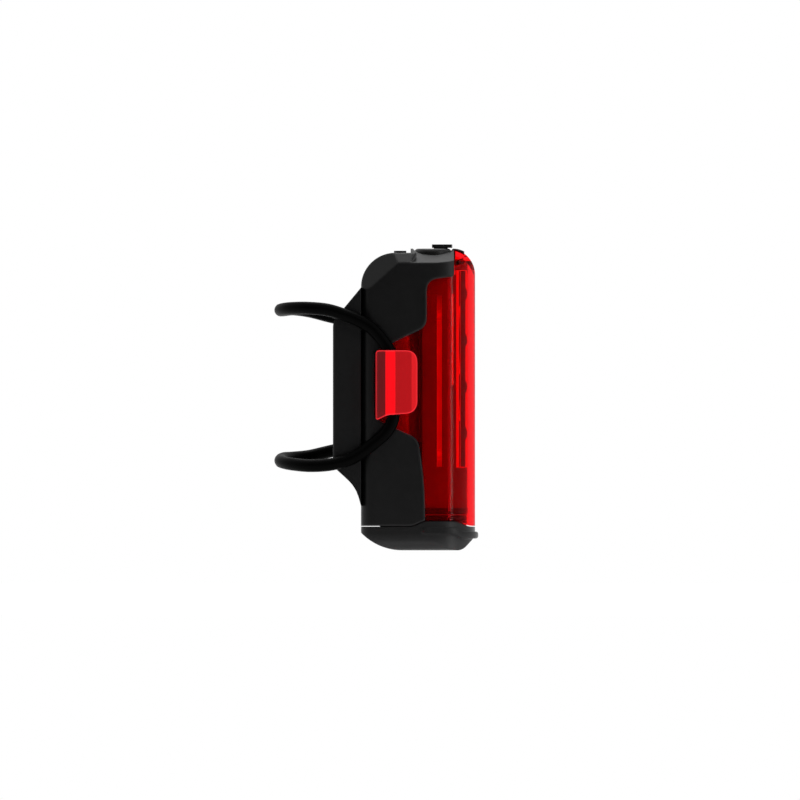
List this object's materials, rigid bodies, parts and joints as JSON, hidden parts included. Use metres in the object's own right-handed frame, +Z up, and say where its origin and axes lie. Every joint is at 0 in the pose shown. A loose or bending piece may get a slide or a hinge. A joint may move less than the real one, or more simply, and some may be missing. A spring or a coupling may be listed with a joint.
{
  "type": "bicycle rear light",
  "caption": "Upright bicycle rear light with a clear red wraparound lens, side hooks, a rubber loop and a post saddle, and a pull-off base cap.",
  "frame": {"origin": "on the axis of the post that the saddle holds, level with the middle of the strap's two strands", "axes": "+X forward, the way the light shines; +Z up along the post; +Y to the light's left"},
  "size_m": [0.053, 0.0332, 0.0796],
  "materials": {
    "black_shell": "satin moulded",
    "soft_black": "smooth moulded rubber",
    "clear_red": "clear tinted polycarbonate",
    "white_plastic": "moulded",
    "switch_black": "moulded",
    "board_green": "solder mask",
    "board_white": "white solder mask",
    "emitter": "phosphor and clear resin",
    "mirror_tray": "bright plated",
    "chassis_grey": "moulded",
    "bright_steel": "bright",
    "pin_brass": "plated",
    "cell_wrap": "shrink sleeve",
    "foam": "foam strip",
    "ceramic": "fired ceramic"
  },
  "bodies": {
    "housing": {"rear_housing": "black_shell", "front_lens": "clear_red", "post_saddle": "soft_black", "tactile_switch": "switch_black", "switch_board": "board_green", "status_window": "clear_red", "status_led": "emitter", "end_plate": "black_shell", "usb_shell": "bright_steel", "usb_tongue": "switch_black", "main_board": "board_green", "led_board": "board_white", "led_emitters": "emitter", "led_reflector": "mirror_tray", "inner_optic": "clear_red", "inner_chassis": "white_plastic", "battery_cell": "cell_wrap", "battery_pad": "foam", "battery_tabs": "bright_steel", "charge_controller": "switch_black", "led_driver": "switch_black", "board_capacitors": "ceramic", "board_pins": "pin_brass", "board_screws": "bright_steel", "light_shroud": "chassis_grey"},
    "button": {"power_button": "soft_black", "button_plunger": "white_plastic"},
    "cap": {"base_cap": "black_shell", "cap_seal": "soft_black"},
    "strap": {"mounting_strap": "soft_black"}
  },
  "joints": [
    {"name": "button_press", "type": "slide", "parent": "housing", "child": "button", "axis": [0, 0, -1], "range_m": [0, 0.0006], "stiffness_N_per_m": 500},
    {"name": "cap_pull", "type": "slide", "parent": "housing", "child": "cap", "axis": [0, 0, -1], "range_m": [0, 0.012]},
    {"name": "strap_stretch", "type": "slide", "parent": "housing", "child": "strap", "axis": [-1, 0, 0], "range_m": [0, 0.012], "stiffness_N_per_m": 400, "deforming": ["mounting_strap"]}
  ]
}
